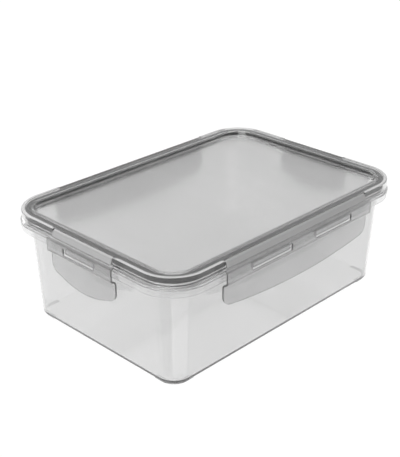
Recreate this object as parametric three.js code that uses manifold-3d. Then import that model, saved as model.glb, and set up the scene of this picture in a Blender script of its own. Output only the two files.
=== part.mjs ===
// A rectangular clip-lock food canister: a clear tub, a clear lid with a seal ring in its rim, and
// four clips that hang from the lid on double film hinges and hook under the tub's flange.
// Millimetres, +Z up. The origin is the centre of the footprint, on the surface the feet stand on.
// The long sides face -Y (front) and +Y (back), the short sides -X (left) and +X (right).
import * as THREE from "three";
import { mergeVertices } from "three/addons/utils/BufferGeometryUtils.js";
import Module from "manifold-3d";

const wasm = await Module();
wasm.setup();

// ---- Overall sizes ----
const lidLength = 250; // over the lid's rim, along X
const lidWidth = 174; // over the lid's rim, along Y
const totalHeight = 88; // feet to the top of the lid's rim
const rimCornerRadius = 28.4; // of the lid's rim in plan
const cornerTightening = 1.25; // how much a corner's radius shrinks for each millimetre of inset
const clearance = 0.3; // between pieces that touch

// ---- Lid ----
const lidPlate = 1; // thickness of the rim's top
const skirtThickness = 2.9; // the rim's outer wall
const skirtHeight = 8; // rim top to the skirt's lower edge
const channelRib = 1.2; // the wall inside the seal channel
const channelRibHeight = 6.4; // rim top to the rib's lower edge
const rimWidth = 10.8; // flat top of the rim, from its outer edge to the recess
const recessDepth = 4; // rim top to the recessed panel
const recessSlope = 1.8; // how far the recess wall leans in
const panelThickness = 1.6;
const rimEdgeRound = 0.7;

// ---- Seal ring ----
const sealWidth = 3.8;
const sealHeight = 4.1;
const sealChamfer = 0.6;

// ---- Tub ----
const wallThickness = 1.6;
const floorThickness = 2;
const wallInsetTop = 7.2; // outer face of the wall under the flange, in from the lid's edge
const wallInsetBottom = 11.3; // outer face of the wall at the floor
const baseRound = 2.5; // between wall and underside
const footHeight = 0.7;
const footWidth = 3;
const footSetback = 1.6; // from the lower edge of the wall's outer face in to the foot
const flangeOverhang = 1.2; // how far the flange stands out past the lid's edge
const flangePlate = 1.6;
const flangeLipHeight = 6.1; // the flange's turned-down lip
const flangeLipThickness = 1.6;
const flangeStep = 0.6; // the lower part of the lip is set back by this
const flangeStepHeight = 2.4;
const rimBeadThickness = 1.8; // the tub's rim, which presses on the seal
const lugHeight = 3.7; // catch lugs on the flange's lip
const lugReach = 2.1; // from the lip's face
const lugSlotPlay = 1.2; // between a lug and its slot, at the ends and below it

// ---- Clips ----
const longClipWidth = 158;
const shortClipWidth = 67.4;
const webWidthLoss = 6; // how much narrower the hinge web is than its clip
const clipThickness = 1.3;
const webThickness = 1.1;
const webDrop = 5; // rim top to the lower film hinge
const webOut = 1.6; // the lower film hinge, out from the lid's edge
const webRoot = 1.4; // the upper film hinge, in from the lid's edge
const bulgeOut = 4.4; // the clip's outermost face
const bulgeTop = 8.3; // rim top to where the bulge runs straight down
const bulgeBottom = 14.5; // rim top to where the clip turns in
const tuckDepth = 17.1; // rim top to the clip's inward fold
const lipOut = 0.7; // outer face of the finger lip
const lipStart = 20.1; // rim top to where the finger lip hangs straight
const lipEndDrop = 33.9; // rim top to the lip's lower edge at its ends
const lipBow = 5.3; // how much lower the edge is at its middle
const lipCornerRadius = 6;
const slotHeight = 5.4;
const slotTopDrop = 8.5; // rim top to the slots' upper edge
const longSlotWidth = 41.5;
const longSlotGap = 26; // between a long clip's two slots
const shortSlotWidth = 32;

const cornerSteps = 8; // facets round each corner of the plan
const arcSteps = 4; // facets along a small arc

const rimTop = totalHeight;
const plateUnderside = rimTop - lidPlate;
const skirtBottom = rimTop - skirtHeight;
const flangeTop = skirtBottom - clearance;
const sealTop = plateUnderside - clearance;
const sealBottom = sealTop - sealHeight;
const sealInset = skirtThickness + clearance;
const panelTop = rimTop - recessDepth;
const underside = footHeight; // the tub's flat underside
const webRootTop = rimTop - 0.1;

// ---- Solids ----

function asSolid(geometry) {
  const bare = geometry.index ? geometry.toNonIndexed() : geometry.clone();
  bare.deleteAttribute("normal");
  bare.deleteAttribute("uv");
  const merged = mergeVertices(bare, 1e-4);
  return new wasm.Manifold(
    new wasm.Mesh({
      numProp: 3,
      vertProperties: merged.attributes.position.array,
      triVerts: new Uint32Array(merged.index.array),
    }),
  );
}

function asGeometry(solid) {
  const mesh = solid.getMesh();
  const geometry = new THREE.BufferGeometry();
  geometry.setAttribute("position", new THREE.BufferAttribute(mesh.vertProperties, 3));
  geometry.setIndex(new THREE.BufferAttribute(mesh.triVerts, 1));
  geometry.computeVertexNormals();
  return geometry;
}

// A rounded rectangle inside the lid's edge by `inset`, anticlockwise seen from above.
function outline([inset, z]) {
  const radius = rimCornerRadius - cornerTightening * inset;
  const centreX = lidLength / 2 - inset - radius;
  const centreY = lidWidth / 2 - inset - radius;
  const points = [];
  for (const [quarter, [signX, signY]] of [[1, 1], [-1, 1], [-1, -1], [1, -1]].entries()) {
    for (let step = 0; step <= cornerSteps; step++) {
      const angle = ((quarter + step / cornerSteps) * Math.PI) / 2;
      const x = signX * centreX + radius * Math.cos(angle);
      const y = signY * centreY + radius * Math.sin(angle);
      points.push(x, y, z);
    }
  }
  return points;
}

// The skin of a section carried round the plan. Its points are [inset, z], listed outwards along the
// underside, up, and back inwards. A capped skin is closed flat at both ends, any other is a ring.
function sweep(section, capped) {
  const ringSize = 4 * (cornerSteps + 1);
  const positions = section.flatMap(outline);
  const index = [];
  const bands = capped ? section.length - 1 : section.length;
  for (let band = 0; band < bands; band++) {
    const next = (band + 1) % section.length;
    for (let side = 0; side < ringSize; side++) {
      const turn = (side + 1) % ringSize;
      const [a, b] = [band * ringSize + side, band * ringSize + turn];
      const [c, d] = [next * ringSize + side, next * ringSize + turn];
      index.push(a, b, d, a, d, c);
    }
  }
  if (capped) {
    const lastRing = (section.length - 1) * ringSize;
    const lowHub = positions.push(0, 0, section[0][1]) / 3 - 1;
    const highHub = positions.push(0, 0, section.at(-1)[1]) / 3 - 1;
    for (let side = 0; side < ringSize; side++) {
      const turn = (side + 1) % ringSize;
      index.push(lowHub, turn, side, highHub, lastRing + side, lastRing + turn);
    }
  }
  const geometry = new THREE.BufferGeometry();
  geometry.setAttribute("position", new THREE.Float32BufferAttribute(positions, 3));
  geometry.setIndex(index);
  return asSolid(geometry);
}

// Points of a circular arc in a section, from one angle to another in degrees.
// 0 degrees points towards the middle of the box and 90 degrees up.
function arc(centreInset, centreZ, radius, from, to) {
  return Array.from({ length: arcSteps + 1 }, (_, step) => {
    const angle = THREE.MathUtils.degToRad(from + ((to - from) * step) / arcSteps);
    return [centreInset + radius * Math.cos(angle), centreZ + radius * Math.sin(angle)];
  });
}

// ---- One side of the box ----
// Each side is drawn as the front: X runs along it, -Y is outwards, and "out" is measured
// outwards from the lid's edge.

const sides = [
  { name: "front", turn: 0, edge: lidWidth / 2, long: true },
  { name: "right", turn: 90, edge: lidLength / 2, long: false },
  { name: "back", turn: 180, edge: lidWidth / 2, long: true },
  { name: "left", turn: -90, edge: lidLength / 2, long: false },
];

function sideMatrix(side) {
  const turn = new THREE.Matrix4().makeRotationZ(THREE.MathUtils.degToRad(side.turn));
  return turn.multiply(new THREE.Matrix4().makeTranslation(0, -side.edge, 0));
}

// A box on one side of the canister, from its spans along the side, outwards and in height.
function sideBox(side, [fromAlong, toAlong], [fromOut, toOut], [fromZ, toZ]) {
  const box = new THREE.BoxGeometry(toAlong - fromAlong, toOut - fromOut, toZ - fromZ);
  box.translate((fromAlong + toAlong) / 2, -(fromOut + toOut) / 2, (fromZ + toZ) / 2);
  return asSolid(box.applyMatrix4(sideMatrix(side)));
}

// Spans of a clip's slots along its side.
function slotSpans(side) {
  if (!side.long) return [[-shortSlotWidth / 2, shortSlotWidth / 2]];
  const near = longSlotGap / 2;
  const far = near + longSlotWidth;
  return [[-far, -near], [near, far]];
}

function clipWidth(side) {
  return side.long ? longClipWidth : shortClipWidth;
}

// A closed strip on the inner side of a path of [out, z] points that runs down the clip.
function strip(path, thickness) {
  const inner = path.map((point, i) => {
    const before = path[Math.max(i - 1, 0)];
    const after = path[Math.min(i + 1, path.length - 1)];
    const along = after.clone().sub(before).normalize();
    return new THREE.Vector2(point.x + along.y * thickness, point.y - along.x * thickness);
  });
  return new THREE.Shape([...path, ...inner.reverse()]);
}

// Extrudes an [out, z] shape along a side, centred on it.
function extrudeAlong(shape, width) {
  const geometry = new THREE.ExtrudeGeometry(shape, { depth: width, bevelEnabled: false });
  geometry.translate(0, 0, -width / 2);
  const [out, up, along] = [[0, -1, 0], [0, 0, 1], [-1, 0, 0]].map((v) => new THREE.Vector3(...v));
  return asSolid(geometry.applyMatrix4(new THREE.Matrix4().makeBasis(out, up, along)));
}

// Extrudes an [along, z] shape outwards through the whole clip.
function extrudeOut(shape, depth) {
  const geometry = new THREE.ExtrudeGeometry(shape, { depth, bevelEnabled: false });
  geometry.translate(0, 0, -depth / 2);
  return asSolid(geometry.rotateX(Math.PI / 2));
}

// ---- Pieces ----

function buildTub() {
  const flangeInset = -flangeOverhang;
  const lipInner = flangeInset + flangeLipThickness;
  const lipBottom = flangeTop - flangeLipHeight;
  const lipStepZ = lipBottom + flangeStepHeight;
  const flangeUnderside = flangeTop - flangePlate;
  const beadTop = sealBottom - clearance;
  const beadOuter = sealInset + (sealWidth - rimBeadThickness) / 2;
  const beadInner = beadOuter + rimBeadThickness;
  const innerTop = wallInsetTop + wallThickness;
  const baseInset = wallInsetBottom + baseRound;
  const floorTop = underside + floorThickness;
  const floorRound = baseRound - wallThickness;
  const floorInset = baseInset;
  const shell = sweep(
    [
      ...arc(baseInset, underside + baseRound, baseRound, -90, -180),
      [wallInsetTop, flangeUnderside],
      [lipInner, flangeUnderside],
      [lipInner, lipBottom],
      [flangeInset + flangeStep, lipBottom],
      [flangeInset + flangeStep, lipStepZ],
      [flangeInset, lipStepZ],
      [flangeInset, flangeTop],
      [beadOuter, flangeTop],
      [beadOuter, beadTop],
      [beadInner, beadTop],
      [beadInner, flangeTop + flangePlate / 2],
      [innerTop, flangeUnderside + clearance],
      ...arc(floorInset, floorTop + floorRound, floorRound, -180, -90),
    ],
    true,
  );
  const footOuter = wallInsetBottom + footSetback;
  const footInner = footOuter + footWidth;
  const footRing = sweep(
    [
      [footInner, 0],
      [footOuter, 0],
      [footOuter, underside + floorThickness / 2],
      [footInner, underside + floorThickness / 2],
    ],
    false,
  );
  const lugTop = rimTop - slotTopDrop - lugSlotPlay / 2;
  let tub = shell.add(footCorners(footRing));
  for (const side of sides) {
    for (const [from, to] of slotSpans(side)) {
      const along = [from + lugSlotPlay, to - lugSlotPlay];
      const out = [flangeOverhang - flangeLipThickness / 2, flangeOverhang + lugReach];
      tub = tub.add(sideBox(side, along, out, [lugTop - lugHeight, lugTop]));
    }
  }
  return tub;
}

// The foot ring is kept only round the four corners.
function footCorners(ring) {
  const straightX = lidLength - 2 * rimCornerRadius - 2 * footWidth;
  const straightY = lidWidth - 2 * rimCornerRadius - 2 * footWidth;
  const acrossX = new THREE.BoxGeometry(straightX, 2 * lidWidth, 4 * footHeight + floorThickness);
  const acrossY = new THREE.BoxGeometry(2 * lidLength, straightY, 4 * footHeight + floorThickness);
  return ring.subtract(asSolid(acrossX)).subtract(asSolid(acrossY));
}

function buildLid() {
  const ribInset = sealInset + sealWidth + clearance;
  const recessBottomInset = rimWidth + recessSlope;
  const panelUnderside = panelTop - panelThickness;
  let lid = sweep(
    [
      [recessBottomInset - panelThickness, panelUnderside],
      [rimWidth - panelThickness / 2, plateUnderside],
      [ribInset + channelRib, plateUnderside],
      [ribInset + channelRib, rimTop - channelRibHeight],
      [ribInset, rimTop - channelRibHeight],
      [ribInset, plateUnderside],
      [skirtThickness, plateUnderside],
      [skirtThickness, skirtBottom],
      [0, skirtBottom],
      ...arc(rimEdgeRound, rimTop - rimEdgeRound, rimEdgeRound, -180, -270),
      [rimWidth, rimTop],
      [recessBottomInset, panelTop],
    ],
    true,
  );
  // The skirt is thinner behind each hinge web.
  for (const side of sides) {
    const half = (clipWidth(side) - webWidthLoss) / 2 + 2 * clearance;
    const out = [-webRoot - clearance, skirtThickness];
    lid = lid.subtract(sideBox(side, [-half, half], out, [skirtBottom - 1, rimTop + 1]));
  }
  return lid;
}

function buildSeal() {
  const [outer, inner] = [sealInset, sealInset + sealWidth];
  return sweep(
    [
      [inner - sealChamfer, sealBottom],
      [outer + sealChamfer, sealBottom],
      [outer, sealBottom + sealChamfer],
      [outer, sealTop - sealChamfer],
      [outer + sealChamfer, sealTop],
      [inner - sealChamfer, sealTop],
      [inner, sealTop - sealChamfer],
      [inner, sealBottom + sealChamfer],
    ],
    false,
  );
}

// The stiff strip between the two film hinges.
function buildWeb(side) {
  const bottom = rimTop - webDrop + clearance / 2;
  const path = [
    new THREE.Vector2(-webRoot, webRootTop),
    new THREE.Vector2(webRoot / 4, webRootTop - webRoot / 2),
    new THREE.Vector2(webOut, bottom),
  ];
  const inner = [
    new THREE.Vector2(webOut - webThickness, bottom),
    new THREE.Vector2(webRoot / 4 - webThickness, webRootTop - webRoot / 2 - webThickness / 2),
    new THREE.Vector2(-webRoot, webRootTop - webThickness),
  ];
  return extrudeAlong(new THREE.Shape([...path, ...inner]), clipWidth(side) - webWidthLoss);
}

function buildClip(side) {
  const level = (drop) => rimTop - drop;
  const lipBottom = level(lipEndDrop + 2 * lipBow);
  const face = new THREE.Path();
  face.moveTo(webOut, level(webDrop) - clearance / 2);
  face.quadraticCurveTo(bulgeOut, level(webDrop + 1), bulgeOut, level(bulgeTop));
  face.lineTo(bulgeOut, level(bulgeBottom));
  face.quadraticCurveTo(bulgeOut, level(tuckDepth - 0.6), (bulgeOut + lipOut) / 2, level(tuckDepth));
  face.quadraticCurveTo(lipOut, level(tuckDepth + 0.6), lipOut, level(lipStart));
  face.lineTo(lipOut, lipBottom);
  const section = strip(face.getPoints(arcSteps), clipThickness);
  const body = extrudeAlong(section, clipWidth(side));

  const half = clipWidth(side) / 2;
  const endZ = level(lipEndDrop);
  const view = new THREE.Shape();
  view.moveTo(-half, rimTop);
  view.lineTo(-half, endZ + lipCornerRadius);
  view.quadraticCurveTo(-half, endZ, -half + lipCornerRadius, endZ);
  view.quadraticCurveTo(0, endZ - 2 * lipBow, half - lipCornerRadius, endZ);
  view.quadraticCurveTo(half, endZ, half, endZ + lipCornerRadius);
  view.lineTo(half, rimTop);
  let clip = body.intersect(extrudeOut(view, 4 * bulgeOut));

  const slotTop = level(slotTopDrop);
  for (const [from, to] of slotSpans(side)) {
    const slot = new THREE.BoxGeometry(to - from, 4 * bulgeOut, slotHeight);
    slot.translate((from + to) / 2, 0, slotTop - slotHeight / 2);
    clip = clip.subtract(asSolid(slot));
  }
  return clip;
}

// ---- Assembly ----

function plastic(colour, roughness, opacity) {
  return new THREE.MeshStandardMaterial({
    color: colour,
    roughness,
    metalness: 0,
    transparent: opacity < 1,
    opacity,
  });
}

const finishes = {
  tub: () => plastic(0xe4e6e7, 0.08, 0.35),
  lid: () => plastic(0xdcdee0, 0.1, 0.4),
  seal: () => plastic(0x55585b, 0.5, 1),
  clip: () => plastic(0xb9bcbe, 0.25, 0.6),
};

function addMesh(parent, name, solid, material) {
  const mesh = new THREE.Mesh(asGeometry(solid), material);
  mesh.name = name;
  parent.add(mesh);
}

const canister = new THREE.Group();
addMesh(canister, "tub", buildTub(), finishes.tub());
addMesh(canister, "lid", buildLid(), finishes.lid());
addMesh(canister, "seal_ring", buildSeal(), finishes.seal());
for (const side of sides) {
  const group = new THREE.Group();
  group.applyMatrix4(sideMatrix(side));
  addMesh(group, side.name + "_hinge_web", buildWeb(side), finishes.clip());
  addMesh(group, side.name + "_clip", buildClip(side), finishes.clip());
  canister.add(group);
}

export default canister;
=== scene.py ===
# %% [markdown]
# # A clip-lock food canister
# The canister is a clear tub, a clear lid with a rubber ring in its rim, and four clips that hang
# from the lid on thin folds of plastic, called film hinges. Clear plastic shows everything: its
# thickness, the far walls and every edge. So each piece here is a closed solid with its true wall,
# and light goes through both of its faces, instead of a thin skin with a see-through colour.

import bmesh
import bpy
import math
from mathutils import Matrix, Vector


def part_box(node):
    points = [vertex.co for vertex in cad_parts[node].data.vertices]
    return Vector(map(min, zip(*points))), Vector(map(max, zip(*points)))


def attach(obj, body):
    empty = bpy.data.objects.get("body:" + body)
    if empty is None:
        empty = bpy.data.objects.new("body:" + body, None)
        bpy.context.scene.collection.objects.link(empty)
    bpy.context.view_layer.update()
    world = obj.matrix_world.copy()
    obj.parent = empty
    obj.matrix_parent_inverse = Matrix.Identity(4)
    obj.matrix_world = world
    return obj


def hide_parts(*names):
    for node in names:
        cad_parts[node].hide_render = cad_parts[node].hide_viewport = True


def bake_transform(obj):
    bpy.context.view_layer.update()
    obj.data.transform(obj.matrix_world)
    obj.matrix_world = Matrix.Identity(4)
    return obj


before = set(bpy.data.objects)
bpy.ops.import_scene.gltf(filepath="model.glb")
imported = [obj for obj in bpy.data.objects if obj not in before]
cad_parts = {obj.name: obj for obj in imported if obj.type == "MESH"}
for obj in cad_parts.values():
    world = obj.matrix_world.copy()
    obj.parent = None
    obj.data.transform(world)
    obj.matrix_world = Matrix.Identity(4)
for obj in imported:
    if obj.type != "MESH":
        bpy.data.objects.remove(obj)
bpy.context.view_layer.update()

# %% [markdown]
# ## Sizes
# A maker dimensions a moulding from one place. Here that place is the lid's outer edge: "inset" is
# measured inwards from it and "out" outwards, both in millimetres, and heights are measured from
# the surface that the feet stand on. The overall sizes come from the frame. Sizes that more than
# one piece needs are named here, and the others beside their piece.

# %% Overall sizes
MM = 0.001
CM = 0.01
lid_low, lid_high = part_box("lid")
LID_LENGTH = (lid_high.x - lid_low.x) / MM
LID_WIDTH = (lid_high.y - lid_low.y) / MM
RIM_TOP = lid_high.z / MM
CORNER_RADIUS = 28.4  # of the lid's edge in plan
CORNER_TIGHTENING = 1.25  # how much a corner's radius shrinks for each millimetre of inset
CORNER_STEPS = 20  # facets round each corner
CENTRE_LINE = LID_WIDTH / 2  # the inset at which a section meets itself in the middle
GAP = 0.3  # between pieces that lie against each other
PANEL_EDGE = 12.6  # inset of the lid's recessed panel
SEAL_OUTER = 3.2  # inset of the seal's outer face
FLANGE_OUT = 1.2  # how far the tub's flange stands out past the lid
print(f"lid {LID_LENGTH:.1f} x {LID_WIDTH:.1f} mm, rim top at {RIM_TOP:.1f} mm")

# %% [markdown]
# ## A socket that can be added and multiplied
# Shader and Geometry Nodes maths reads badly as a list of nodes and links. Wrapping a socket in a
# small class lets the formula be written as a formula, and each operator adds its Math node.

# %% Wire: sockets as numbers
class Wire:
    """An output socket that takes part in Python expressions."""

    def __init__(self, socket):
        self.socket = socket
        self.tree = socket.id_data

    @staticmethod
    def make(tree, kind, settings=(), sockets=(), output=0):
        """Adds a node: its settings first, then the values or links of its sockets."""
        node = tree.nodes.new(kind)
        for name, value in dict(settings).items():
            setattr(node, name, value)
        for key, value in dict(sockets).items():
            if isinstance(value, Wire):
                tree.links.new(value.socket, node.inputs[key])
            else:
                node.inputs[key].default_value = value
        return Wire(node.outputs[output]) if node.outputs else node

    def math(self, operation, *others, first=None):
        inputs = [self, *others] if first is None else [first, self]
        return Wire.make(self.tree, "ShaderNodeMath", {"operation": operation}, enumerate(inputs))

    def clamped(self):
        return self.math("MAXIMUM", 0).math("MINIMUM", 1)

    def split(self):
        """The X, Y and Z of a vector."""
        node = Wire.make(self.tree, "ShaderNodeSeparateXYZ", (), {0: self}).socket.node
        return [Wire(node.outputs[axis]) for axis in "XYZ"]

    def __add__(self, other):
        return self.math("ADD", other)

    def __sub__(self, other):
        return self.math("SUBTRACT", other)

    def __rsub__(self, other):
        return self.math("SUBTRACT", first=other)

    def __mul__(self, other):
        return self.math("MULTIPLY", other)

    def __truediv__(self, other):
        return self.math("DIVIDE", other)

    __radd__ = __add__
    __rmul__ = __mul__


print("operators:", [name for name in vars(Wire) if name.startswith("__r")])

# %% [markdown]
# ## Carrying a section round the plan
# The tub, the lid and the rubber ring each have one section, drawn once, that goes round a
# rectangle with rounded corners. A sweep along a curve keeps one and the same plan for every point
# of the section. A moulded box doesn't: towards the middle its corners get tighter. So the plan is
# a formula with the inset in it, and Geometry Nodes work it out for every point: the rows of a grid
# are the section's points, and its columns go once round the plan.

# %% The sweep as a node tree
def plan_tree():
    tree = bpy.data.node_groups.new("section_round_the_plan", "GeometryNodeTree")
    names = {
        "Geometry": "NodeSocketGeometry",
        "Length": "NodeSocketFloat",
        "Width": "NodeSocketFloat",
        "Corner Radius": "NodeSocketFloat",
        "Corner Tightening": "NodeSocketFloat",
        "Corner Steps": "NodeSocketInt",
        "Material": "NodeSocketMaterial",
    }
    for name, kind in names.items():
        tree.interface.new_socket(name, in_out="INPUT", socket_type=kind)
    tree.interface.new_socket("Geometry", in_out="OUTPUT", socket_type="NodeSocketGeometry")

    def given(name):
        return Wire.make(tree, "NodeGroupInput", output=name)

    def geometry(kind, settings=(), output=0, **sockets):
        named = {key.replace("_", " "): value for key, value in sockets.items()}
        return Wire.make(tree, "GeometryNode" + kind, settings, named, output)

    count = geometry("AttributeDomainSize", Geometry=given("Geometry"), output="Point Count")
    per_corner = given("Corner Steps") + 1
    columns = per_corner * 4 + 1
    grid = geometry("MeshGrid", Vertices_X=count, Vertices_Y=columns)
    number = geometry("InputIndex")
    row = (number / columns).math("FLOOR")
    column = number - row * columns
    point = geometry(
        "SampleIndex",
        {"data_type": "FLOAT_VECTOR"},
        Geometry=given("Geometry"),
        Value=geometry("InputPosition"),
        Index=row,
    )
    inset, _, height = point.split()

    corner = (column / per_corner).math("FLOOR")
    quarter_turn = math.pi / 2
    angle = (corner + (column - corner * per_corner) / given("Corner Steps")) * quarter_turn
    middle = (corner + 0.5) * quarter_turn
    radius = (given("Corner Radius") - given("Corner Tightening") * inset).math("MAXIMUM", 0)

    def along(size, wave):
        hub = (given(size) * 0.5 - inset - radius).math("MAXIMUM", 0)
        return middle.math(wave).math("SIGN") * hub + radius * angle.math(wave)

    place = Wire.make(
        tree,
        "ShaderNodeCombineXYZ",
        (),
        {"X": along("Length", "COSINE"), "Y": along("Width", "SINE"), "Z": height},
    )
    placed = geometry("SetPosition", Geometry=grid, Position=place)
    welded = geometry("MergeByDistance", Geometry=placed, Distance=1e-6)
    smooth = geometry("SetShadeSmooth", Geometry=welded)
    real = geometry("RealizeInstances", Geometry=smooth)
    painted = geometry("SetMaterial", Geometry=real, Material=given("Material"))
    Wire.make(tree, "NodeGroupOutput", (), {"Geometry": painted})
    return tree


plan = plan_tree()
print("sweep tree:", len(plan.nodes), "nodes")

# %% [markdown]
# A section is a list of corners, and no corner of a moulding is sharp: plastic doesn't fill one,
# and a sharp edge would show as a hard line in clear plastic. Each corner has the radius of its arc.

# %% Sections with eased corners
ARC_STEPS = 5


def eased(corners):
    """Turns (inset, height, radius) corners into points, with an arc where there is a radius."""
    points = []
    for i, (inset, height, radius) in enumerate(corners):
        here = Vector((inset, height))
        if radius == 0:
            points.append(here)
            continue
        back = (Vector(corners[i - 1][:2]) - here).normalized()
        ahead = (Vector(corners[(i + 1) % len(corners)][:2]) - here).normalized()
        half = back.angle(ahead) / 2
        hub = here + (back + ahead).normalized() * (radius / math.sin(half))
        reach = radius / math.tan(half)
        start = here + back * reach - hub
        end = here + ahead * reach - hub
        for step in range(ARC_STEPS + 1):
            points.append(hub + start.slerp(end, step / ARC_STEPS).normalized() * radius)
    return points


print("a corner becomes", len(eased([(0, 0, 0), (5, 0, 1), (5, 5, 0)])) - 2, "points")

# %% [markdown]
# ## From modifiers to plain meshes
# Modifiers are a good way to build. `settle` keeps their result as the piece's own mesh, welds it,
# turns its faces outwards and prints what it weighs in.

# %% Helpers that finish a piece
SHARP = math.radians(50)  # an edge that turns by more than this stays a hard edge
WELD = 1e-7


def new_piece(name, mesh, material):
    piece = bpy.data.objects.new(name, mesh)
    bpy.context.scene.collection.objects.link(piece)
    mesh.materials.append(material)
    return piece


def settle(piece):
    depsgraph = bpy.context.evaluated_depsgraph_get()
    mesh = bpy.data.meshes.new_from_object(piece.evaluated_get(depsgraph), depsgraph=depsgraph)
    piece.modifiers.clear()
    piece.data = mesh
    bm = bmesh.new()
    bm.from_mesh(mesh)
    bmesh.ops.remove_doubles(bm, verts=bm.verts, dist=WELD)
    bmesh.ops.dissolve_degenerate(bm, edges=bm.edges, dist=WELD)
    bmesh.ops.recalc_face_normals(bm, faces=bm.faces)
    for face in bm.faces:
        face.smooth = True
    loose = sum(not edge.is_manifold for edge in bm.edges)
    volume = bm.calc_volume(signed=True) / CM**3
    print(f"{piece.name}: {len(bm.faces)} faces, {volume:.2f} cm3, {loose} open edges")
    bm.to_mesh(mesh)
    bm.free()
    mesh.set_sharp_from_angle(angle=SHARP)
    return piece


def flat_faces_stay_flat(piece):
    """Lets large faces decide the shading at the edges they share with small arcs."""
    modifier = piece.modifiers.new("Weighted normals", "WEIGHTED_NORMAL")
    modifier.keep_sharp = True


def combine(piece, tool, operation):
    modifier = piece.modifiers.new("Combine", "BOOLEAN")
    modifier.operation = operation
    modifier.solver = "EXACT"
    modifier.object = tool
    settle(piece)
    bpy.data.objects.remove(tool)


print("a finished piece keeps edges hard above", round(math.degrees(SHARP)), "degrees")

# %% [markdown]
# A solid of the box starts as a line of points, which is its section. The sweep takes the line's
# points and gives back the finished shape.

# %% A solid from a section
def carried_round(name, section, material, closed=False):
    """A solid whose section goes round the plan. A closed section makes a ring."""
    points = section + section[:1] if closed else section
    line = bpy.data.meshes.new(name)
    line.from_pydata([(p.x * MM, 0, p.y * MM) for p in points], [], [])
    piece = new_piece(name, line, material)
    modifier = piece.modifiers.new("Round the plan", "NODES")
    modifier.node_group = plan
    values = {
        "Length": LID_LENGTH * MM,
        "Width": LID_WIDTH * MM,
        "Corner Radius": CORNER_RADIUS * MM,
        "Corner Tightening": CORNER_TIGHTENING,
        "Corner Steps": CORNER_STEPS,
        "Material": material,
    }
    for item in plan.interface.items_tree:
        if item.in_out == "INPUT" and item.name in values:
            modifier[item.identifier] = values[item.name]
    return settle(piece)


print("columns round the plan:", 4 * (CORNER_STEPS + 1) + 1)

# %% [markdown]
# ## Where something is on the box
# Some of the grey of a moulding belongs to a place: the recessed panel, a foot, a corner. A
# material finds its place with the same two numbers as the sections, inset and height, and round a
# corner with a bearing. A ramp turns such a number into a share between 0 and 1.

# %% Places in a material
FADE = 3  # degrees over which a band fades in or out


def ramp(value, start, width):
    """0 up to the start and 1 from a width beyond it. Both are in mm, the value is in metres."""
    return ((value - start * MM) / (width * MM)).clamped()


def spots(place):
    """The inset, the height and the bearing of a point. The bearing is 0 where a corner meets a
    short side and 90 degrees where it meets a long side."""
    x, y, height = place.split()
    over_x = x.math("ABSOLUTE") - (LID_LENGTH / 2 - CORNER_RADIUS) * MM
    over_y = y.math("ABSOLUTE") - (LID_WIDTH / 2 - CORNER_RADIUS) * MM
    squares = [over.math("MAXIMUM", 0).math("POWER", 2) for over in (over_x, over_y)]
    from_hub = (squares[0] + squares[1]).math("SQRT")
    beside = over_x.math("MAXIMUM", over_y).math("MINIMUM", 0)
    inset = CORNER_RADIUS * MM - from_hub - beside
    bearing = over_y.math("ARCTAN2", over_x).math("DEGREES")
    return inset, height, bearing


def between_bearings(bearing, low, high):
    return ((bearing - low) / FADE).clamped() * ((high - bearing) / FADE).clamped()


print("a band fades over", FADE, "degrees")

# %% [markdown]
# The plastic isn't the same everywhere else either. Noise gives slow clouds and streaks along its
# flow, and a Mix node turns a share into a colour between two others.

# %% Noise and colours
def noise(place, scale, detail, stretch=(1, 1, 1)):
    """Noise with about scale spots in a metre. A stretch below 1 draws them out along an axis."""
    laid = Wire.make(place.tree, "ShaderNodeMapping", (), {"Vector": place, "Scale": stretch})
    sockets = {"Vector": laid, "Scale": scale, "Detail": detail}
    return Wire.make(place.tree, "ShaderNodeTexNoise", (), sockets, "Fac")


def mixed(share, first, second):
    """A colour between two others, each a grey shade or a colour that comes out of a node."""
    ends = [end if isinstance(end, Wire) else (end, end, end, 1) for end in (first, second)]
    factor, a, b, result = 0, 6, 7, 2  # places of the colour sockets on a Mix node
    sockets = {factor: share, a: ends[0], b: ends[1]}
    return Wire.make(share.tree, "ShaderNodeMix", {"data_type": "RGBA"}, sockets, result)


def new_material(name):
    material = bpy.data.materials.new(name)
    material.use_nodes = True
    material.node_tree.nodes.clear()
    return material, material.node_tree


CLOUDS = 14  # scales of the noise in the plastics
FLOW = 60
GRAIN = 900
print("spots about this many mm across:", [round(1 / scale / MM) for scale in (CLOUDS, FLOW, GRAIN)])

# %% [markdown]
# ## Clear plastic
# A clear moulding gets three things from its material. Light is bent by the body of the plastic,
# which is the refraction of the Principled shader. It is weaker than that of solid plastic, because
# a moulding's thin walls shift little of what is behind them and a strong bend breaks the rim into
# streaks. The gloss of the surface is a Coat with a refraction of its own. Light is lost inside,
# which is the grey of the thick edges, and a constant Volume Absorption gives that by itself: a
# thin wall stays bright and a long way through an edge gets dark. The surface is never perfect
# either: flow marks from the mould change its gloss a little, and a fine grain bends the light by a
# hair.

# %% The recipe for a plastic
COAT = {"Coat Weight": 1, "Coat IOR": 1.4, "Coat Roughness": 0.03}


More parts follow.
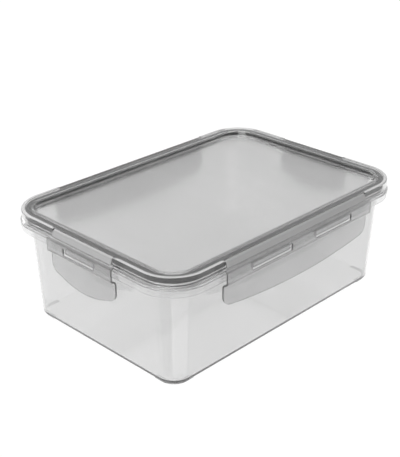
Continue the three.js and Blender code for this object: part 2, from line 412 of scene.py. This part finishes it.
def clear_plastic(name, recipe, dull=None, painted_light=None, layers=()):
    """shades are the palest and the greyest colour of the surface, gloss its lowest and highest
    roughness, absorption the loss for each metre of plastic and grain the depth of its bump in mm.
    clear is the share of light that goes through instead of being scattered back. A place is a
    function that gives a share. dull is a place with its roughness, painted_light a place with the
    shade of a pale shader mixed in there as painted light, and each layer a place with its shade."""
    material, tree = new_material(name)
    place = Wire.make(tree, "ShaderNodeTexCoord", output="Object")
    spot = spots(place)
    clouds = noise(place, CLOUDS, 3)
    flow = noise(place, FLOW, 4, (1, 0.25, 0.25))
    fine = noise(place, GRAIN, 2)
    low, high = recipe["gloss"]
    roughness = low + (clouds * 0.5 + flow * 0.5) * (high - low)
    if dull:
        on_it, peak = dull
        roughness = roughness + on_it(*spot) * (peak * (0.8 + flow * 0.4) - low)
    colour = mixed(clouds, *recipe["shades"])
    for on_it, shade in layers:
        colour = mixed(on_it(*spot), colour, shade)
    sockets = {"Height": fine * 0.3 + flow * 0.7, "Distance": recipe["grain"] * MM}
    bump = Wire.make(tree, "ShaderNodeBump", (), sockets)
    sockets = {
        "Base Color": colour,
        "Roughness": roughness,
        "Normal": bump,
        "Transmission Weight": recipe["clear"],
        "IOR": recipe["ior"],
        **COAT,
    }
    shader = Wire.make(tree, "ShaderNodeBsdfPrincipled", (), sockets)
    # The pale shader mixed in below is painted light, standing in for light that comes out of the
    # plastic.
    if painted_light:
        on_it, shade = painted_light
        sockets = {"Base Color": mixed(clouds, shade, shade - 0.04), "Roughness": 0.3, "Normal": bump}
        painted_light_shader = Wire.make(tree, "ShaderNodeBsdfPrincipled", (), sockets)
        sockets = {0: on_it(*spot), 1: shader, 2: painted_light_shader}
        shader = Wire.make(tree, "ShaderNodeMixShader", (), sockets)
    sockets = {"Color": (0, 0, 0, 1), "Density": recipe["absorption"]}
    loss = Wire.make(tree, "ShaderNodeVolumeAbsorption", (), sockets)
    Wire.make(tree, "ShaderNodeOutputMaterial", (), {"Surface": shader, "Volume": loss})
    return material


straight_on = ((COAT["Coat IOR"] - 1) / (COAT["Coat IOR"] + 1)) ** 2
print(f"the coat reflects {straight_on:.1%} of the light that meets it straight on")

# %% [markdown]
# ## Where the plastics differ, and where light and shade are painted
# The panel of the lid is a little frosted. The strip of the rim outside the rubber ring looks pale,
# because light that travels inside the rim comes out there, and a milky skin stands in for it: a
# pale shader mixed in there, which is painted light. The catch lugs and the body of a clip are given
# a greyer colour than the walls. The feet are darker too, which is painted shade along the base.
# The thick corner of a real tub bends light into a greyer band and a paler one that run up it. A
# small change of the plastic's grey stands in for them: painted shade in the greyer band and a
# painted highlight in the paler one.

# %% Places on the mouldings
WEB_BEARINGS = (-45, 127)  # where the web of the short side and that of the long side end
# Between these heights the colour of a clip is greyer than that of its lip.
CLIP_BODY = (71.2, 83.2)  # heights between which a clip is dense
# Bearings of a painted shade band and a painted highlight band up each corner of the tub.
PAINTED_CORNER_BANDS = {"grey": (20, 41), "pale": (41, 76)}  # bearings
# The milky skin of the ledge is painted light: a pale shader in place of light coming out of the rim.
LEDGE_PAINTED_LIGHT = 0.7  # how much of the ledge's look the milky skin gives


def on_panel(inset, height, bearing):
    return ramp(inset, PANEL_EDGE, 1.5)


def on_ledge(inset, height, bearing):
    """The strip of the rim's top outside the seal, from one web's end to the next one's start."""
    strip = ramp(inset, 0.1, 0.3) * (1 - ramp(inset, SEAL_OUTER - 0.8, 0.4))
    top = ramp(height, RIM_TOP - 0.3, 0.2)
    return strip * top * between_bearings(bearing, *WEB_BEARINGS) * LEDGE_PAINTED_LIGHT


def on_lugs(inset, height, bearing):
    return 1 - ramp(inset, -FLANGE_OUT - 0.2, 0.1)


# The feet are painted darker: painted shade for the dark line that light draws along the tub's base.
def painted_shade_on_feet(inset, height, bearing):
    return 1 - ramp(height, 0.1, 0.5)


# A band up a corner of the tub. The grey one is painted shade and the pale one a painted highlight,
# for light that the curved corner gathers from other places.
def painted_corner_band(kind):
    def on_it(inset, height, bearing):
        band = between_bearings(bearing, *PAINTED_CORNER_BANDS[kind])
        return band * ramp(height, 6, 4) * (1 - ramp(height, 70, 3))

    return on_it


def on_clip_body(inset, height, bearing):
    return ramp(height, CLIP_BODY[0], 0.8) * (1 - ramp(height, CLIP_BODY[1], 0.8))


print("corner bands, in degrees:", PAINTED_CORNER_BANDS)

# %% [markdown]
# The recipes are close to each other. The tub bends light most, which draws its base as a dark
# line. The lid bends it less, so that the ring is seen sharply through it. The clips are greyer and
# more satin, and the webs let the least light through.

# %% Plastics
wall = {"gloss": (0.01, 0.04), "absorption": 15, "grain": 0.0015}
satin = {"absorption": 20, "grain": 0.005}
tub_recipe = {**wall, "shades": (0.88, 0.84), "ior": 1.4, "clear": 0.95}
lid_recipe = {**wall, "shades": (0.86, 0.82), "ior": 1.3, "clear": 1}
clip_recipe = {**satin, "gloss": (0.06, 0.12), "shades": (0.7, 0.66), "ior": 1.25, "clear": 0.95}
web_recipe = {**satin, "gloss": (0.12, 0.2), "shades": (0.38, 0.34), "ior": 1.2, "clear": 0.3}
tub_layers = [
    (on_lugs, 0.45),
    # painted shade along the base
    (painted_shade_on_feet, 0.35),
    # a painted shade band and a painted highlight band up each corner
    (painted_corner_band("grey"), 0.83),
    (painted_corner_band("pale"), 0.93),
]
tub_plastic = clear_plastic("tub_clear_plastic", tub_recipe, layers=tub_layers)
# On the lid, the pale strip of the ledge is painted light.
lid_plastic = clear_plastic(
    "lid_clear_plastic", lid_recipe, dull=(on_panel, 0.2), painted_light=(on_ledge, 0.56)
)
clip_plastic = clear_plastic("clip_satin_plastic", clip_recipe, layers=[(on_clip_body, 0.61)])
web_plastic = clear_plastic("web_satin_plastic", web_recipe)
print("plastics:", tub_plastic.name, lid_plastic.name, clip_plastic.name, web_plastic.name)

# %% [markdown]
# ## Seal rubber
# The ring is silicone: it takes no polish, so it is dull, a little uneven and nearly opaque.

# %% Seal rubber
def rubber(name):
    material, tree = new_material(name)
    place = Wire.make(tree, "ShaderNodeTexCoord", output="Object")
    mottle = noise(place, 80, 4)
    fine = noise(place, 1500, 3)
    bump = Wire.make(tree, "ShaderNodeBump", (), {"Height": fine, "Distance": 0.02 * MM})
    colour = mixed(mottle, 0.035, 0.055)
    sockets = {"Base Color": colour, "Roughness": 0.45 + mottle * 0.2, "Normal": bump}
    shader = Wire.make(tree, "ShaderNodeBsdfPrincipled", (), sockets)
    Wire.make(tree, "ShaderNodeOutputMaterial", (), {"Surface": shader})
    return material


seal_rubber = rubber("seal_silicone")
print("rubber:", seal_rubber.name)

# %% [markdown]
# ## The sides
# The four sides are alike but for their width, so the pieces of a side are all drawn as the front:
# X runs along the side, "out" is towards the viewer and the height is up. A matrix then turns them
# to their side.

# %% Places of the sides
SIDES = {
    "front": (0, LID_WIDTH / 2, 158, [(-54.5, -13), (13, 54.5)]),
    "right": (90, LID_LENGTH / 2, 67.4, [(-16, 16)]),
    "back": (180, LID_WIDTH / 2, 158, [(-54.5, -13), (13, 54.5)]),
    "left": (270, LID_LENGTH / 2, 67.4, [(-16, 16)]),
}  # turn in degrees, distance of the lid's edge, width of the clip, spans of its slots
WEB_NARROWER = 6  # than its clip


def web_half(side):
    return (SIDES[side][2] - WEB_NARROWER) / 2


def turned(side):
    turn, edge = SIDES[side][:2]
    return Matrix.Rotation(math.radians(turn), 4, "Z") @ Matrix.Translation((0, -edge * MM, 0))


def blocks(name, spans, material, rounding=0):
    """One object of boxes. A span is a matrix and three pairs: along the side, out and height."""
    bm = bmesh.new()
    for matrix, along, out, height in spans:
        low = Vector((along[0], -out[1], height[0])) * MM
        high = Vector((along[1], -out[0], height[1])) * MM
        size = Matrix.Diagonal((*(high - low), 1))
        middle = Matrix.Translation((low + high) / 2)
        bmesh.ops.create_cube(bm, size=1, matrix=matrix @ middle @ size)
    if rounding:
        bmesh.ops.bevel(
            bm,
            geom=list(bm.edges),
            offset=rounding * MM,
            segments=3,
            profile=0.5,
            affect="EDGES",
        )
    mesh = bpy.data.meshes.new(name)
    bm.to_mesh(mesh)
    bm.free()
    return new_piece(name, mesh, material)


print("sides:", ", ".join(SIDES))

# %% [markdown]
# ## The tub
# The tub is one moulding: a floor, walls that lean out so that it leaves the mould, and a flange
# with a turned-down lip that the clips reach round. The low bead on the flange would press into the
# rubber ring on a real canister. Here it stops a small gap short of it. The section is listed from
# the middle of the underside, up the outside and back down the inside.

# %% Tub
UNDERSIDE = 0.7
FLOOR_TOP = 2.7
FLANGE_TOP = 79.7
FLANGE_UNDER = 78.1
LIP_BOTTOM = 73.6
tub_section = eased(
    [
        (CENTRE_LINE, UNDERSIDE, 0),
        (11.45, UNDERSIDE, 2.4),
        (7.2, FLANGE_UNDER, 0.5),
        (0.4, FLANGE_UNDER, 0.3),
        (0.4, LIP_BOTTOM, 0.25),
        (-0.6, LIP_BOTTOM, 0.25),
        (-0.6, 76.0, 0.2),
        (-FLANGE_OUT, 76.0, 0.2),
        (-FLANGE_OUT, FLANGE_TOP, 0.4),
        (4.2, FLANGE_TOP, 0.3),
        (4.2, 82.3, 0.5),
        (6.0, 82.3, 0.5),
        (6.0, 80.5, 0.6),
        (8.8, 78.4, 1.2),
        (12.95, FLOOR_TOP, 1.5),
        (CENTRE_LINE, FLOOR_TOP, 0),
    ]
)
tub = carried_round("tub_shell", tub_section, tub_plastic)

# %% [markdown]
# The feet are a low ring under the floor, left only round the four corners. The ring is swept like
# the tub, and a box at each corner says how much of it stays. The catch lugs are small blocks on
# the lip, one for each slot of a clip. They are joined to the tub as solids, so that no wall is left
# inside the plastic.

# %% Feet and catch lugs
FOOT_X = 93.6  # the feet lie beyond this, measured from the middle along the long side
FOOT_Y = 55.6  # and beyond this along the short side
foot_section = eased([(12.9, 0, 0.3), (15.9, 0, 0.3), (15.9, 1.7, 0), (12.9, 1.7, 0)])
feet = carried_round("feet", foot_section, tub_plastic, closed=True)
unturned = Matrix.Identity(4)
x_spans = [(-LID_LENGTH, -FOOT_X), (FOOT_X, LID_LENGTH)]
y_spans = [(-LID_WIDTH, -FOOT_Y), (FOOT_Y, LID_WIDTH)]
corner_spans = [(unturned, x_span, y_span, (-5, 5)) for x_span in x_spans for y_span in y_spans]
combine(feet, blocks("corners", corner_spans, tub_plastic), "INTERSECT")
combine(tub, feet, "UNION")
LUG_PLAY = 1.2  # between a lug's end and its slot's
lug_spans = [
    (turned(side), (start + LUG_PLAY, end - LUG_PLAY), (0.4, 3.3), (75.2, 78.9))
    for side in SIDES
    for start, end in SIDES[side][3]
]
combine(tub, blocks("lugs", lug_spans, tub_plastic, rounding=0.5), "UNION")
flat_faces_stay_flat(tub)

# %% [markdown]
# ## The lid
# The lid's rim is a channel, open downwards, that holds the rubber ring. Its outer wall is the
# skirt. The panel inside the rim is sunk, so that another canister's feet stand in it. The section
# is listed from the middle of the top face, over the rim, down the skirt and back under the panel.

# %% Lid
PANEL_TOP = 84.0
PLATE_UNDER = 87.0
SKIRT_BOTTOM = 80.0
lid_section = eased(
    [
        (CENTRE_LINE, PANEL_TOP, 0),
        (PANEL_EDGE, PANEL_TOP, 1.0),
        (10.8, RIM_TOP, 0.8),
        (0, RIM_TOP, 0.7),
        (0, SKIRT_BOTTOM, 0.3),
        (2.9, SKIRT_BOTTOM, 0.3),
        (2.9, PLATE_UNDER, 0.3),
        (7.3, PLATE_UNDER, 0.3),
        (7.3, 81.6, 0.3),
        (8.5, 81.6, 0.3),
        (8.5, PLATE_UNDER, 0.4),
        (10.0, PLATE_UNDER, 0.4),
        (11.0, 82.4, 1.0),
        (CENTRE_LINE, 82.4, 0),
    ]
)
lid = carried_round("lid_shell", lid_section, lid_plastic)

# %% [markdown]
# Behind each clip the skirt is thinner, which makes room for the strip that the clip hangs from.
# In the mould that is a block of steel, and here it is a box cut out of the sweep.

# %% Pockets in the lid's skirt
POCKET_DEPTH = 1.7
pocket_spans = [
    (
        turned(side),
        (-web_half(side) - 2 * GAP, web_half(side) + 2 * GAP),
        (-POCKET_DEPTH, 5),
        (SKIRT_BOTTOM - 1, RIM_TOP + 1),
    )
    for side in SIDES
]
combine(lid, blocks("pockets", pocket_spans, lid_plastic), "DIFFERENCE")
flat_faces_stay_flat(lid)

# %% [markdown]
# ## The seal ring
# The ring is moulded from silicone, with eased edges. It fills the channel but for a small gap, and
# it is the dark line that runs round under the clear rim.

# %% Seal ring
SEAL_INNER = 7.0
SEAL_BOTTOM = 82.6
SEAL_TOP = 86.7
SEAL_EASE = 0.7
seal_section = eased(
    [
        (SEAL_INNER, SEAL_BOTTOM, SEAL_EASE),
        (SEAL_OUTER, SEAL_BOTTOM, SEAL_EASE),
        (SEAL_OUTER, SEAL_TOP, SEAL_EASE),
        (SEAL_INNER, SEAL_TOP, SEAL_EASE),
    ]
)
seal = carried_round("seal_ring_rubber", seal_section, seal_rubber, closed=True)
flat_faces_stay_flat(seal)

# %% [markdown]
# ## Clips, webs and films
# A clip is a bent sheet of one thickness. The easy way to make such a piece is to draw only its
# outer face as a grid, with the slots left out, and let Solidify give it its wall and Bevel ease its
# edges. The grid's rows follow the bend of the clip, and its columns stop at a bowed lower edge.

# %% Sheets of plastic
def sheet_piece(name, columns, rows, wall, ease, material, side, holes=()):
    """columns are places along the side, and rows gives the (out, height) points at one of them."""
    lines = [rows(x) for x in columns]
    count = len(lines[0])
    points = [(x * MM, -out * MM, z * MM) for x, line in zip(columns, lines) for out, z in line]
    faces = []
    for c in range(len(columns) - 1):
        across = (columns[c] + columns[c + 1]) / 2
        for r in range(count - 1):
            level = (lines[c][r][1] + lines[c][r + 1][1]) / 2
            if any(a < across < b and low < level < high for a, b, low, high in holes):
                continue
            here = c * count + r
            faces.append((here, here + 1, here + count + 1, here + count))
    mesh = bpy.data.meshes.new(name)
    mesh.from_pydata(points, [], faces)
    mesh.transform(turned(side))
    piece = new_piece(name, mesh, material)
    bm = bmesh.new()
    bm.from_mesh(mesh)
    bmesh.ops.delete(bm, geom=[v for v in bm.verts if not v.link_faces], context="VERTS")
    bm.to_mesh(mesh)
    bm.free()
    solid = piece.modifiers.new("Wall", "SOLIDIFY")
    solid.thickness = wall * MM
    solid.offset = -1
    solid.use_even_offset = True
    if ease:
        bevel = piece.modifiers.new("Ease", "BEVEL")
        bevel.width = ease * MM
        bevel.segments = 3
        bevel.limit_method = "ANGLE"
        bevel.angle_limit = math.radians(40)
    settle(piece)
    flat_faces_stay_flat(piece)
    return piece


def between(start, end, step):
    """Even places from start up to but not at end, at most a step apart."""
    count = max(1, math.ceil((end - start) / step))
    return [start + (end - start) * i / count for i in range(count)]


def bend(start, pull, end, steps=7):
    """Points of the curve from start to end that leans towards pull."""
    points = []
    for step in range(1, steps + 1):
        t = step / steps
        shares = ((1 - t) ** 2, 2 * t * (1 - t), t**2)
        out, height = [sum(w * v for w, v in zip(shares, axis)) for axis in zip(start, pull, end)]
        points.append((out, height))
    return points


print("a bend has", len(bend((0, 0), (1, 0), (1, 1))), "points")

# %% [markdown]
# The clip stands out over the flange, turns in under it and ends in a lip for the finger. Its bend
# is the same all along the side, down to where the lip starts.

# %% The bend of a clip
SLOT_BOTTOM = 74.1
SLOT_TOP = 79.5
FOLD_OUT = 1.6  # at its top end, by the fold
BULGE = 4.4  # at its outermost face
LIP_OUT = 0.7
LIP_START = 67.9
top_end = (FOLD_OUT, 82.85)
shoulder = (BULGE, 79.7)
under = (BULGE, 73.5)
middle_of_turn = (2.55, 70.9)
bent_face = [
    top_end,
    *bend(top_end, (BULGE, 82.0), shoulder),
    (BULGE, SLOT_TOP),
    *[(BULGE, SLOT_TOP + (SLOT_BOTTOM - SLOT_TOP) * i / 4) for i in (1, 2, 3, 4)],
    under,
    *bend(under, (BULGE, 71.5), middle_of_turn),
    *bend(middle_of_turn, (LIP_OUT, 70.3), (LIP_OUT, LIP_START)),
]
print("points down the bend:", len(bent_face))

# %% [markdown]
# The slots take the catch lugs of the tub. The lip's lower edge is bowed and its corners are round,
# so the grid's columns lie closer together there.

# %% Clips
CLIP_WALL = 1.3
CLIP_EASE = 0.3
LIP_END = 54.1  # height of the lower edge at its ends
LIP_BOW = 5.3  # how much lower it is in the middle
LIP_ROUND = 8  # radius of the lip's lower corners


def lower_edge(x, half):
    straight = half - LIP_ROUND
    if abs(x) <= straight:
        return LIP_END - LIP_BOW * (1 - (x / straight) ** 2)
    return LIP_END + LIP_ROUND - math.sqrt(LIP_ROUND**2 - (abs(x) - straight) ** 2)


def clip(side):
    half = SIDES[side][2] / 2
    angles = [math.radians(degrees) for degrees in range(0, 91, 15)]
    corner = [half - LIP_ROUND * (1 - math.cos(angle)) for angle in angles]
    slots = SIDES[side][3]
    stops = sorted({corner[-1], -corner[-1], *[edge for slot in slots for edge in slot]})
    columns = [-x for x in corner[:-1]]
    for start, end in zip(stops, stops[1:]):
        columns += between(start, end, 4)
    columns += corner[::-1]

    def rows(x):
        bottom = lower_edge(x, half)
        lip = [(LIP_OUT, LIP_START + (bottom - LIP_START) * i / 5) for i in range(1, 6)]
        return bent_face + lip

    name = side + "_clip_sheet"
    holes = [(start, end, SLOT_BOTTOM, SLOT_TOP) for start, end in slots]
    return sheet_piece(name, columns, rows, CLIP_WALL, CLIP_EASE, clip_plastic, side, holes)


clips = {side: clip(side) for side in SIDES}

# %% [markdown]
# The web is the stiff strip between the two folds: it starts in the skirt's pocket, leans out over
# the skirt and carries the clip past the flange.

# %% Webs
WEB_WALL = 0.95
WEB_EASE = 0.2
web_section = eased([(-1.4, 87.9, 0), (0.35, 87.2, 1.2), (1.6, 83.15, 0)])


def web(side):
    half = web_half(side)
    columns = [*between(-half, half, 4), half]

    def rows(x):
        return [tuple(point) for point in web_section]

    return sheet_piece(side + "_web_sheet", columns, rows, WEB_WALL, WEB_EASE, web_plastic, side)


webs = {side: web(side) for side in SIDES}

# %% [markdown]
# The film hinges are the folds themselves, thin enough to bend a thousand times. Each is a narrow
# ribbon that reaches a little into the pieces on both sides of the fold. Nothing else here bends.

# %% Film hinges
FILM_WALL = 0.25
TOP_FOLD = [(-2.0, 87.9), (-1.7, 87.9), (-1.6, 87.9), (-1.5, 87.9), (-1.4, 87.85), (-1.1, 87.7)]
LOW_FOLD = [(1.45, 83.45), (1.5, 83.15), (1.52, 83.05), (1.54, 82.95), (1.55, 82.85), (1.6, 82.5)]


def film(side, fold, name):
    half = web_half(side)
    columns = [*between(-half, half, 8), half]

    def rows(x):
        return fold

    return sheet_piece(side + name, columns, rows, FILM_WALL, 0, clip_plastic, side)


films = {}
for side in SIDES:
    films[side] = (film(side, TOP_FOLD, "_lid_film"), film(side, LOW_FOLD, "_clip_film"))

# %% [markdown]
# ## What moves with what
# Each piece but the film hinges stands for its part of the frame and rides on that part's body. A
# film hinge is left where it is drawn, on no body.

# %% Riding and replacing
for piece, body, node, slot in (
    (tub, "tub", "tub", "tub_plastic"),
    (lid, "lid", "lid", "lid_plastic"),
    (seal, "lid", "seal_ring", "seal_rubber"),
):
    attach(piece, body)
    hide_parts(node)
for side in SIDES:
    for piece, body, node in (
        (webs[side], side + "_web", side + "_hinge_web"),
        (clips[side], side + "_clip", side + "_clip"),
    ):
        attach(piece, body)
        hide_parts(node)
    folds = (
        (films[side][0], "lid", side + "_web", (-1.7, 87.9), (-1.4, 87.9)),
        (films[side][1], side + "_web", side + "_clip", (1.6, 83.15), (1.6, 82.85)),
    )
    for piece, upper, lower, start, end in folds:
        ends = [turned(side) @ Vector((0, -out * MM, z * MM)) for out, z in (start, end)]
        tuple(ends[0])
        tuple(ends[1])
        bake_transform(piece)
print("pieces:", 3, "all round and", 4, "on each of", len(SIDES), "sides")

# %% [markdown]
# ## The floor
# Clear plastic is lit by what is behind it. The floor glows an even white, as a light table does, so
# the canister casts no shadow on it.

# %% Floor
def light_table():
    material, tree = new_material("light_table")
    sockets = {
        "Base Color": (0.02, 0.02, 0.02, 1),
        "Roughness": 1,
        "Specular IOR Level": 0,
        "Emission Color": (1, 1, 1, 1),
        "Emission Strength": 1,
    }
    shader = Wire.make(tree, "ShaderNodeBsdfPrincipled", (), sockets)
    Wire.make(tree, "ShaderNodeOutputMaterial", (), {"Surface": shader})
    return material


FLOOR_HALF = 6
FLOOR_DROP = 0.0003  # keeps the floor clear of the feet
floor_mesh = bpy.data.meshes.new("floor")
floor_corners = [(-1, -1), (1, -1), (1, 1), (-1, 1)]
floor_points = [(x * FLOOR_HALF, y * FLOOR_HALF, -FLOOR_DROP) for x, y in floor_corners]
floor_mesh.from_pydata(floor_points, [], [(0, 1, 2, 3)])
floor = new_piece("floor", floor_mesh, light_table())
print("floor:", 2 * FLOOR_HALF, "m across")

# %% [markdown]
# ## The light
# The room above the floor is a soft grey that gets brighter overhead. A large softbox on the left
# brightens the short side, and a weaker one stands behind.

# %% Light
world = bpy.data.worlds.new("studio")
world.use_nodes = True
world.node_tree.nodes.clear()
ray = Wire.make(world.node_tree, "ShaderNodeTexCoord", output="Generated")
HORIZON_GLOW = 0.45
OVERHEAD_GLOW = 1
up = ray.split()[2].math("MAXIMUM", 0)
glow = HORIZON_GLOW + up * (OVERHEAD_GLOW - HORIZON_GLOW)
sockets = {"Color": (1, 1, 1, 1), "Strength": glow}
background = Wire.make(world.node_tree, "ShaderNodeBackground", (), sockets)
Wire.make(world.node_tree, "ShaderNodeOutputWorld", (), {"Surface": background})
bpy.context.scene.world = world


def softbox(name, place, size, power):
    light = bpy.data.lights.new(name, "AREA")
    light.shape = "SQUARE"
    light.size = size
    light.energy = power
    lamp = bpy.data.objects.new(name, light)
    lamp.location = place
    lamp.rotation_euler = (-Vector(place)).to_track_quat("-Z", "Y").to_euler()
    bpy.context.scene.collection.objects.link(lamp)


softbox("left_softbox", (-1.6, -0.5, 0.9), size=2.0, power=40)
softbox("back_softbox", (0.4, 1.8, 1.3), size=1.2, power=10)
print("softboxes:", len(bpy.data.lights))

# %% [markdown]
# ## The camera
# The camera looks down on the near corner. Its place is given by its turn round the canister, its
# height above the horizon and its distance, then a small move sideways and up to frame the object.
# A ray of light meets a clear wall many times on its way through a box in a box, so it is let
# through more surfaces than usual before it is given up.

# %% Camera
AZIMUTH = math.radians(-45.7)
ELEVATION = math.radians(25.81)
DISTANCE = 0.7648
SIDEWAYS = -0.0079
UPWARDS = 0.0480
BASE_LIFT = 0.00228
BOUNCES = 28
back = Vector(
    (
        math.sin(AZIMUTH) * math.cos(ELEVATION),
        -math.cos(AZIMUTH) * math.cos(ELEVATION),
        math.sin(ELEVATION),
    )
)
right = Vector((math.cos(AZIMUTH), math.sin(AZIMUTH), 0))
upwards = back.cross(right)
lens = bpy.data.cameras.new("camera")
lens.sensor_width = 36
lens.lens = 76.0
lens.clip_start = 0.01
camera = bpy.data.objects.new("camera", lens)
turn = Matrix((right, upwards, back)).transposed().to_4x4()
place = back * DISTANCE + right * SIDEWAYS + upwards * UPWARDS + Vector((0, 0, BASE_LIFT))
camera.matrix_world = Matrix.Translation(place) @ turn
bpy.context.scene.collection.objects.link(camera)
bpy.context.scene.camera = camera
bpy.context.scene.view_settings.view_transform = "Standard"
bpy.context.scene.cycles.max_bounces = BOUNCES
bpy.context.scene.cycles.transmission_bounces = BOUNCES
print("camera at", [round(v, 3) for v in camera.matrix_world.translation])

# %% [markdown]
# The finished pieces are meant to fill the same box as the frame, neither more nor less.
